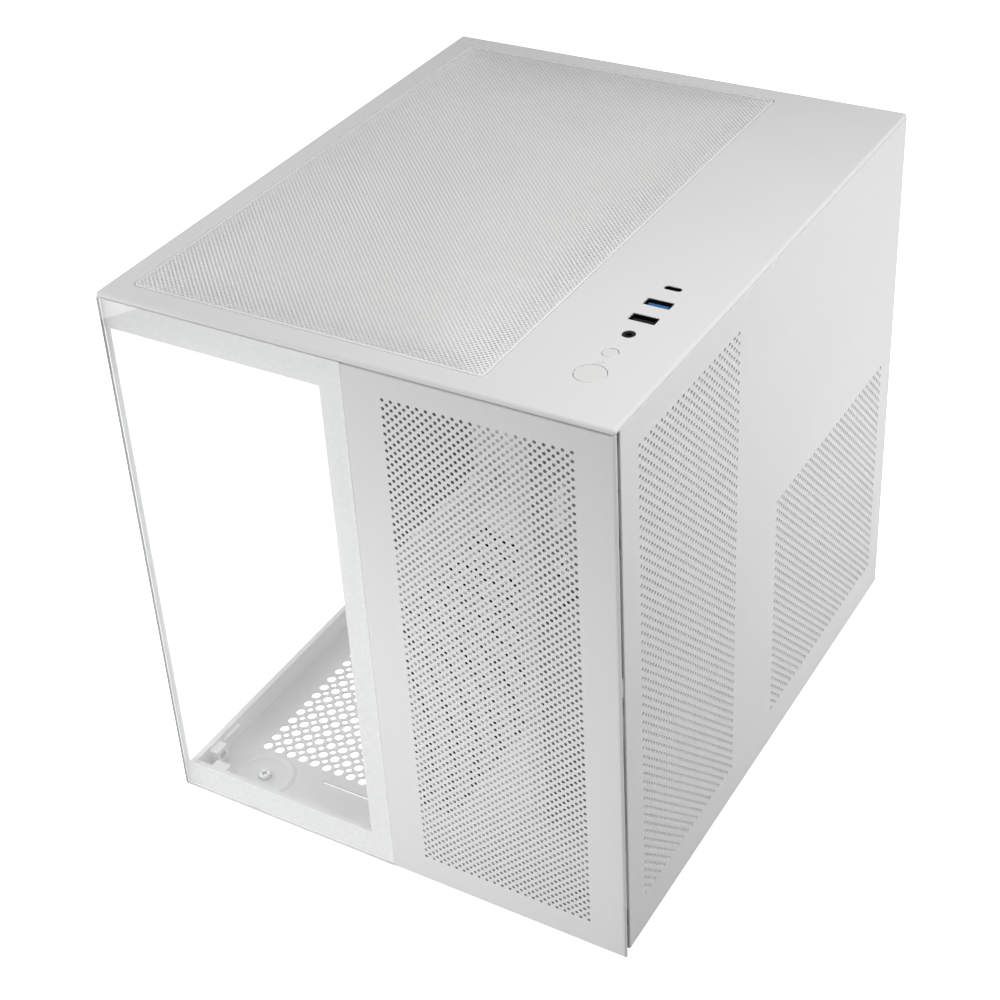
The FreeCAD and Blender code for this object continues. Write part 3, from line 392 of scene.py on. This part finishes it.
# ---- top panel ------------------------------------------------------------------------------
TOP_LIP = BODY_H - 340.5
top_profile = rounded_profile(1.7, TOP_LIP, 6) + [(SHEET, TOP_LIP), (SHEET, SHEET)]
top_holes = [(FILTER_X, FILTER_Y, FILTER_R, 8),
             (span(PORT_X, 9.8), span(127.0, 3.9), 1.95, 8),
             (span(PORT_X, 14.8), span(110.6, 6.8), 0.6, 4),
             (span(PORT_X, 14.8), span(94.2, 6.8), 0.6, 4),
             round_hole(PORT_X, 78.2, 3.55), round_hole(PORT_X, 59.0, 4.3, 10),
             round_hole(PORT_X, 49.4, 1.15, 5), round_hole(PORT_X, 38.6, 8.3, 12)]
top_panel = plate("top_panel_sheet", (0.0, 0.0, BODY_H), (X, Y, BACK_Z), (CASE_W, CASE_D), 1.5, top_profile,
                  SHEET, holes=top_holes)
dress(top_panel, "chassis", "white_steel", "top_panel")

# ---- floor ----------------------------------------------------------------------------------
floor_size = (FLOOR_X[1] - FLOOR_X[0], FLOOR_Y[1] - FLOOR_Y[0])
floor_field = ((28.3 - FLOOR_X[0], 49.2 - FLOOR_Y[0]), 8.75, (16, 30), 3.0, 2.0, 4, 0.0)
floor_holes = [round_hole(x - FLOOR_X[0], y - FLOOR_Y[0], 2.2, 4) for x, y in FEET]
floor_holes.append((span(94.0 - FLOOR_X[0], 34.0), span(38.0 - FLOOR_Y[0], 1.2), 0.3, 2))
floor = plate("floor_sheet", (FLOOR_X[0], FLOOR_Y[0], FLOOR_Z), (X, Y, BACK_Z), floor_size, 1.5,
              rounded_profile(EDGE, FLOOR_Z) + [(SHEET, FLOOR_Z), (SHEET, SHEET)], SHEET, [floor_field],
              floor_holes)
dress(floor, "chassis", "white_steel", "base_pan")


def foot_bead(bm, x, y):
    """A smooth raised ring pressed round each foot's screw."""
    steps, turns = 10, 64
    inner, width, rise = 14.0, 5.5, 1.2
    rows = []
    for i in range(steps + 1):
        share = i / steps
        radius = inner + width * share
        lift = rise * math.sin(math.pi * share) ** 1.5
        rows.append([bm.verts.new(place(x + radius * math.cos(2 * math.pi * k / turns),
                                        y + radius * math.sin(2 * math.pi * k / turns),
                                        FLOOR_Z - 0.05 + lift)) for k in range(turns)])
    rows += [[bm.verts.new(place(x + r * math.cos(2 * math.pi * k / turns),
                                 y + r * math.sin(2 * math.pi * k / turns), FLOOR_Z - 0.4))
              for k in range(turns)] for r in (inner + width, inner)]
    for above, below in zip(rows, rows[1:] + rows[:1]):
        for k in range(turns):
            face = bm.faces.new((above[k], below[k], below[(k + 1) % turns], above[(k + 1) % turns]))
            face.smooth = True


def bead_mesh():
    bm = bmesh.new()
    for x, y in FEET:
        foot_bead(bm, x, y)
    bmesh.ops.recalc_face_normals(bm, faces=bm.faces)
    mesh = bpy.data.meshes.new("floor_beads")
    bm.to_mesh(mesh)
    bm.free()
    return mesh


beads = bpy.data.objects.new("floor_beads", bead_mesh())
bpy.context.scene.collection.objects.link(beads)
dress(beads, "chassis", "white_steel")

# ---- glass panes and the print on the front one ---------------------------------------------
def pane(name, origin, axes, size, body, edge, cad_node):
    """A pane with bevelled edges; its two faces are clear and its edges are ground."""
    bevel = 0.3
    profile = [(bevel, 0.0), (0.0, bevel), (0.0, GLASS - bevel), (bevel, GLASS)]
    made = plate(name, origin, axes, size, 0.5, profile, bevel)
    dress(made, body, "clear_glass", cad_node)
    made.data.materials.append(MATERIALS[edge])
    made.data.materials.append(MATERIALS["pale_ground_edge"])
    # edges facing -x take the given edge material; on the front pane that is painted shade
    across = Vector(axes[2])
    for polygon in made.data.polygons:
        if abs(polygon.normal.dot(across)) > 0.99:
            polygon.material_index = 0
        else:
            polygon.material_index = 1 if polygon.normal.x < -0.5 else 2


pane("front_pane", (0.0, 0.0, 0.0), (X, Z, Y), (151.2, PANEL_TOP), "front_glass_panel", "painted_shade_ground_edge",
     "front_glass")
pane("side_pane", (0.0, 4.4, 0.3), (Y, Z, X), (364.2, PANEL_TOP - 0.3), "side_glass_panel",
     "pale_ground_edge", "side_glass")


def glass_print():
    """The white border along three edges of the pane, a hair's breadth behind it."""
    sheet = Sheet((0.0, GLASS + 0.03, 0.0), X, Z, Y)
    left, right, low, high = 0.6, 150.9, 0.6, PANEL_TOP - 0.6
    loop = [(left, low), (right, low), (right, high), (left, high), (left, PRINT_INNER_Z[1]),
            (PRINT_INNER_X, PRINT_INNER_Z[1]), (PRINT_INNER_X, PRINT_INNER_Z[0]), (left, PRINT_INNER_Z[0])]
    rings = [sheet.ring(loop, 0.0), sheet.ring(loop, 0.2)]
    sheet.skirt(*rings)
    sheet.cap(rings[:1])
    sheet.cap(rings[1:], back=True)
    return finish_mesh("glass_print", sheet.mesh("glass_print"))


dress(glass_print(), "front_glass_panel", "white_print", "front_glass_print")

# ---- top filter mesh ------------------------------------------------------------------------
MESH_PITCH = 2.95              # along x and y; the threads run at 45 degrees to them
MESH_Z = (342.45, 342.85)
THREAD_HALF = (0.62, 0.15)     # half width and half height of a thread
CLOTH_Z = 342.4                # fine cloth under the coarse threads; its grey tone is painted shade in the gaps of the weave


def clip(start, direction, planes):
    """The stretch of a line inside some half planes (a, b, c): a x + b y <= c. None if none is."""
    low, high = -1e9, 1e9
    for a, b, c in planes:
        rate = a * direction[0] + b * direction[1]
        room = c - a * start[0] - b * start[1]
        if abs(rate) < 1e-9:
            if room < 0:
                return None
        elif rate > 0:
            high = min(high, room / rate)
        else:
            low = max(low, room / rate)
    return (low, high) if high - low > 1.0 else None


def filter_mesh():
    """Threads laid on the two diagonals, one set a little higher, and the hem that they end in."""
    x = (FILTER_X[0] + FILTER_GAP, FILTER_X[1] - FILTER_GAP)
    y = (FILTER_Y[0] + FILTER_GAP, FILTER_Y[1] - FILTER_GAP)
    inside = 0.6
    cut = 1.7
    root = math.sqrt(0.5)
    planes = [(1, 0, x[1] - inside), (-1, 0, -x[0] - inside), (0, 1, y[1] - inside), (0, -1, -y[0] - inside),
              (root, root, (x[1] + y[1] - cut) * root), (-root, -root, -(x[0] + y[0] + cut) * root),
              (root, -root, (x[1] - y[0] - cut) * root), (-root, root, (y[1] - x[0] - cut) * root)]
    points, faces = [], []
    spacing = MESH_PITCH * root
    middle = ((x[0] + x[1]) / 2, (y[0] + y[1]) / 2)
    reach = int((x[1] - x[0] + y[1] - y[0]) / spacing)
    level = sum(MESH_Z) / 2
    for direction, lift in (((root, root), 0.05), ((root, -root), -0.05)):
        across = (-direction[1], direction[0])
        for i in range(-reach, reach + 1):
            start = [middle[k] + across[k] * (i + 0.5) * spacing for k in (0, 1)]
            stretch = clip(start, direction, planes)
            if not stretch:
                continue
            first = len(points)
            for end in stretch:
                for k in range(6):
                    a = math.radians(60 * k)
                    off, up = THREAD_HALF[0] * math.cos(a), THREAD_HALF[1] * math.sin(a)
                    points.append(place(start[0] + direction[0] * end + across[0] * off,
                                        start[1] + direction[1] * end + across[1] * off,
                                        level + lift + up))
            faces += [(first + k, first + (k + 1) % 6, first + 6 + (k + 1) % 6, first + 6 + k)
                      for k in range(6)]
            faces += [tuple(first + 5 - k for k in range(6)), tuple(first + 6 + k for k in range(6))]
    mesh = bpy.data.meshes.new("filter_threads")
    mesh.from_pydata(points, [], faces)
    threads = finish_mesh("filter_threads", mesh)
    for polygon in mesh.polygons:
        polygon.use_smooth = len(polygon.vertices) == 4
    hem = Sheet((0.0, 0.0, MESH_Z[1]), X, Y, BACK_Z)
    loops = [hem.ring(outline(x, y, 3.0, inset, 8), depth)
             for inset, depth in ((1.1, 0.0), (0.12, 0.0), (0.0, 0.1), (0.0, 0.39), (1.1, 0.39))]
    for above, below in zip(loops, loops[1:] + loops[:1]):
        hem.skirt(above, below)
    # a cloth under the threads, its grey tone painted shade in the gaps of the weave
    cloth = Sheet((0.0, 0.0, CLOTH_Z), X, Y, BACK_Z)
    loops = [cloth.ring(outline(x, y, 3.0, 0.5, 8), depth) for depth in (0.0, 0.04)]
    cloth.skirt(*loops)
    cloth.cap(loops[:1])
    cloth.cap(loops[1:], back=True)
    return (threads, finish_mesh("filter_hem", hem.mesh("filter_hem")),
            finish_mesh("shaded_filter_cloth", cloth.mesh("shaded_filter_cloth")))


threads, hem, cloth = filter_mesh()
dress(threads, "top_filter", "filter_mesh_white", "filter_mesh")
dress(hem, "top_filter", "filter_mesh_white")
dress(cloth, "top_filter", "filter_mesh_white")
cloth.data.materials[0] = MATERIALS["shaded_filter_cloth"]

# ---- CAD pieces keep their shape and get their finish ----------------------------------------
slot_of = {s["node"]: s["material_slot"] for s in frame["record"]["subparts"]}
for name, piece in frame["nodes"].items():
    piece.data.materials.clear()
    piece.data.materials.append(MATERIALS[slot_of[name]])

# ---- stage, light and camera ----------------------------------------------------------------
FLOOR_GLOW = 1.0
# A triangle of the ground that the camera sees through the left pane, and how many times as far
# from the camera its card of painted shade stands
DARK_GROUND = [(-0.325, 0.262, 0.0), (-0.170, 0.045, 0.0), (-0.170, 0.262, 0.0)]
DARK_REACH = 8.0
CAMERA_AT = Vector((0.49498, -0.83551, 0.84256))
CASE_MIDDLE = (0, 0, 0.17)
SHADE_X, SHADE_Y, SHADE_Z = (-0.148, 0.05), (-0.145, 0.155), 0.0005
SHADE_FADE = 0.02              # width of the shadow's soft edge


def stage_card(name, material, corners):
    """A flat card of the studio."""
    mesh = bpy.data.meshes.new(name)
    mesh.from_pydata(corners, [], [tuple(range(len(corners)))])
    mesh.materials.append(material)
    made = bpy.data.objects.new(name, mesh)
    bpy.context.scene.collection.objects.link(made)
    return made


def floor_material():
    material, tree, output, where = new_material("studio_floor")
    cloud = blend_colours(tree, noise(tree, where, 3.0), (0.90, 0.90, 0.90), (0.92, 0.92, 0.92))
    shader = node(tree, "ShaderNodeBsdfPrincipled", {
        "Base Color": cloud, "Roughness": 0.6, "Specular IOR Level": 0.1,
        "Emission Color": (1.0, 1.0, 1.0, 1.0), "Emission Strength": FLOOR_GLOW})
    tree.links.new(shader.outputs["BSDF"], output.inputs["Surface"])
    return material


def studio_floor():
    made = stage_card("studio_floor", floor_material(),
                      [(-12.0, -12.0, 0.0), (12.0, -12.0, 0.0), (12.0, 12.0, 0.0), (-12.0, 12.0, 0.0)])
    made.visible_diffuse = made.visible_shadow = made.visible_transmission = False


def painted_shade_card():
    """Painted shade: a black card far beyond the left pane, met only by sight lines that pass just one pane,
    so that the front vent's holes seen against it look dark.
    """
    material, tree, output, where = new_material("painted_shade_card")
    depth = node(tree, "ShaderNodeLightPath").outputs["Transmission Depth"]
    second = node(tree, "ShaderNodeMath", {0: depth, 1: 2.5}, operation="GREATER_THAN").outputs["Value"]
    # painted shade: near-black for sight lines that pass one pane
    black = node(tree, "ShaderNodeBsdfDiffuse", {"Color": (0.01, 0.01, 0.01, 1.0)})
    clear = node(tree, "ShaderNodeBsdfTransparent")
    mixed = node(tree, "ShaderNodeMixShader", {"Fac": second})
    tree.links.new(black.outputs["BSDF"], mixed.inputs[1])
    tree.links.new(clear.outputs["BSDF"], mixed.inputs[2])
    tree.links.new(mixed.outputs["Shader"], output.inputs["Surface"])
    corners = [CAMERA_AT + (Vector(point) - CAMERA_AT) * DARK_REACH for point in DARK_GROUND]
    made = stage_card("painted_shade_card", material, corners)
    made.visible_camera = made.visible_diffuse = made.visible_glossy = made.visible_shadow = False


def past_edge(tree, value, limits):
    """0 well between two limits, rising smoothly to 1 at either."""
    middle, half = sum(limits) / 2, (limits[1] - limits[0]) / 2
    off = node(tree, "ShaderNodeMath", {0: value, 1: middle}, operation="SUBTRACT").outputs["Value"]
    away = node(tree, "ShaderNodeMath", {0: off}, operation="ABSOLUTE").outputs["Value"]
    return node(tree, "ShaderNodeMapRange", {"Value": away, "From Min": half - SHADE_FADE, "From Max": half},
                interpolation_type="SMOOTHSTEP").outputs["Result"]


def ground_shade():
    """The soft shadow on the ground right under the case, for sight lines that pass no glass."""
    material, tree, output, where = new_material("ground_shade")
    axes = node(tree, "ShaderNodeSeparateXYZ", {"Vector": where}).outputs
    edge = node(tree, "ShaderNodeMath", {0: past_edge(tree, axes["X"], SHADE_X),
                                         1: past_edge(tree, axes["Y"], SHADE_Y)}, operation="MAXIMUM")
    dark = node(tree, "ShaderNodeBsdfDiffuse", {"Color": (0.02, 0.02, 0.02, 1.0)})
    clear = node(tree, "ShaderNodeBsdfTransparent")
    mixed = node(tree, "ShaderNodeMixShader", {"Fac": edge.outputs["Value"]})
    tree.links.new(dark.outputs["BSDF"], mixed.inputs[1])
    tree.links.new(clear.outputs["BSDF"], mixed.inputs[2])
    tree.links.new(mixed.outputs["Shader"], output.inputs["Surface"])
    made = stage_card("ground_shade", material, [
        (SHADE_X[0], SHADE_Y[0], SHADE_Z), (SHADE_X[1], SHADE_Y[0], SHADE_Z),
        (SHADE_X[1], SHADE_Y[1], SHADE_Z), (SHADE_X[0], SHADE_Y[1], SHADE_Z)])
    made.visible_diffuse = made.visible_glossy = made.visible_shadow = made.visible_transmission = False


def soft_light(name, place_at, aim, size, power, mirrored=True):
    lamp = bpy.data.lights.new(name, "AREA")
    lamp.shape = "RECTANGLE"
    lamp.size, lamp.size_y = size
    lamp.energy = power
    made = bpy.data.objects.new(name, lamp)
    bpy.context.scene.collection.objects.link(made)
    made.visible_camera = made.visible_transmission = False
    made.visible_glossy = mirrored
    made.location = place_at
    made.rotation_euler = (Vector(aim) - Vector(place_at)).to_track_quat("-Z", "Y").to_euler()


def studio_world(strength, backdrop):
    world = bpy.data.worlds.new("studio_world")
    bpy.context.scene.world = world
    world.use_nodes = True
    tree = world.node_tree
    tree.nodes.clear()
    output = tree.nodes.new("ShaderNodeOutputWorld")
    path = node(tree, "ShaderNodeLightPath").outputs
    through = node(tree, "ShaderNodeMath", {0: path["Transmission Depth"], 1: 0.5}, operation="GREATER_THAN")
    direct = node(tree, "ShaderNodeMath", {0: path["Diffuse Depth"], 1: 0.5}, operation="LESS_THAN")
    panes = node(tree, "ShaderNodeMath", {0: through.outputs["Value"], 1: direct.outputs["Value"]},
                 operation="MULTIPLY")
    seen = node(tree, "ShaderNodeMath", {0: path["Is Camera Ray"], 1: panes.outputs["Value"]},
                operation="MAXIMUM").outputs["Value"]
    level = node(tree, "ShaderNodeMapRange", {"Value": seen, "To Min": strength, "To Max": backdrop})
    sky = node(tree, "ShaderNodeBackground", {"Color": (1.0, 1.0, 1.0, 1.0),
                                              "Strength": level.outputs["Result"]})
    tree.links.new(sky.outputs["Background"], output.inputs["Surface"])


def studio_camera():
    """Stands to the right of the case's front corner and above it."""
    right = Vector((0.86198, 0.50405, -0.05405))
    down = Vector((0.24070, -0.50077, -0.83144))
    ahead = Vector((-0.44615, 0.70368, -0.55298))
    lens = bpy.data.cameras.new("camera")
    lens.sensor_width = 36.0
    lens.lens = 71.19
    lens.shift_x, lens.shift_y = 0.0134, -0.0607
    lens.clip_end = 100.0
    made = bpy.data.objects.new("camera", lens)
    bpy.context.scene.collection.objects.link(made)
    turn = Matrix((right, -down, -ahead)).transposed().to_4x4()
    made.matrix_world = Matrix.Translation(CAMERA_AT) @ turn
    bpy.context.scene.camera = made


studio_floor()
ground_shade()
painted_shade_card()
studio_world(0.12, 1.3)
soft_light("side_low_softbox", (0.481, 0.129, 0.106), CASE_MIDDLE, (0.4, 0.4), 0.16)
soft_light("side_rear_softbox", (0.431, 0.249, 0.194), CASE_MIDDLE, (0.4, 0.4), 0.58)
soft_light("front_softbox", (0.0, -0.498, 0.106), CASE_MIDDLE, (0.4, 0.4), 0.82)
soft_light("corner_softbox", (-0.586, -0.338, 0.331), CASE_MIDDLE, (0.6, 0.6), 2.82)
soft_light("top_softbox", (0.483, -0.129, 1.016), CASE_MIDDLE, (0.6, 0.6), 5.99)
soft_light("left_softbox", (-0.85, 0.1, 0.6), (0, 0, 0.1), (0.6, 0.6), 2.0, mirrored=False)
soft_light("rear_softbox", (-0.25, 1.3, 0.16), (0, 0.18, 0.17), (0.7, 0.36), 3.0)
studio_camera()
bpy.context.scene.view_settings.view_transform = "Standard"
